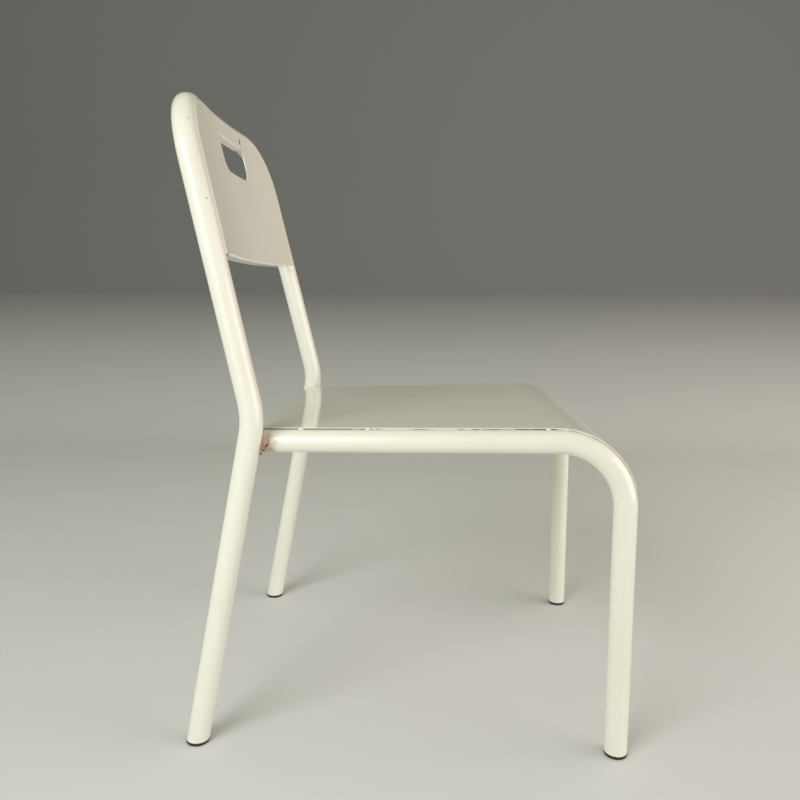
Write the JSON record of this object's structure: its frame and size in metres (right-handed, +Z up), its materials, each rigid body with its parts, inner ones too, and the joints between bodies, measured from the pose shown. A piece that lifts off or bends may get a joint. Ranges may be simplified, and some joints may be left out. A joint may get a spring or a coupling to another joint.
{
  "type": "metal stacking chair",
  "caption": "Small welded steel chair: bent tube frame, flat sheet seat rolled over the front, bowed sheet back with a hand slot, black foot glides.",
  "frame": {"origin": "on the floor, under the centre of the chair's bounding box", "axes": "+Z up; -Y the way a sitter faces, so the front legs are at -Y; +X to the sitter's left"},
  "size_m": [0.419, 0.5089, 0.7211],
  "materials": {
    "tube_paint": "glossy warm white paint on steel tube, chipped and rusty beside the welds",
    "sheet_paint": "glossy warm white paint on steel sheet, smooth enough to mirror the tubes",
    "weld_paint": "painted over weld metal, lumpy, stained brown where the paint is broken",
    "glide_plastic": "black moulded plastic, scuffed underneath"
  },
  "bodies": {
    "root": {"rear_frame": "tube_paint", "side_frame_right": "tube_paint", "side_frame_left": "tube_paint", "seat_sheet": "sheet_paint", "back_sheet": "sheet_paint", "joint_weld_right": "weld_paint", "joint_weld_left": "weld_paint", "seat_weld_right": "weld_paint", "seat_weld_left": "weld_paint", "back_weld_right": "weld_paint", "back_weld_left": "weld_paint", "back_weld_top": "weld_paint", "glide_front_right": "glide_plastic", "glide_front_left": "glide_plastic", "glide_rear_right": "glide_plastic", "glide_rear_left": "glide_plastic"}
  },
  "joints": []
}
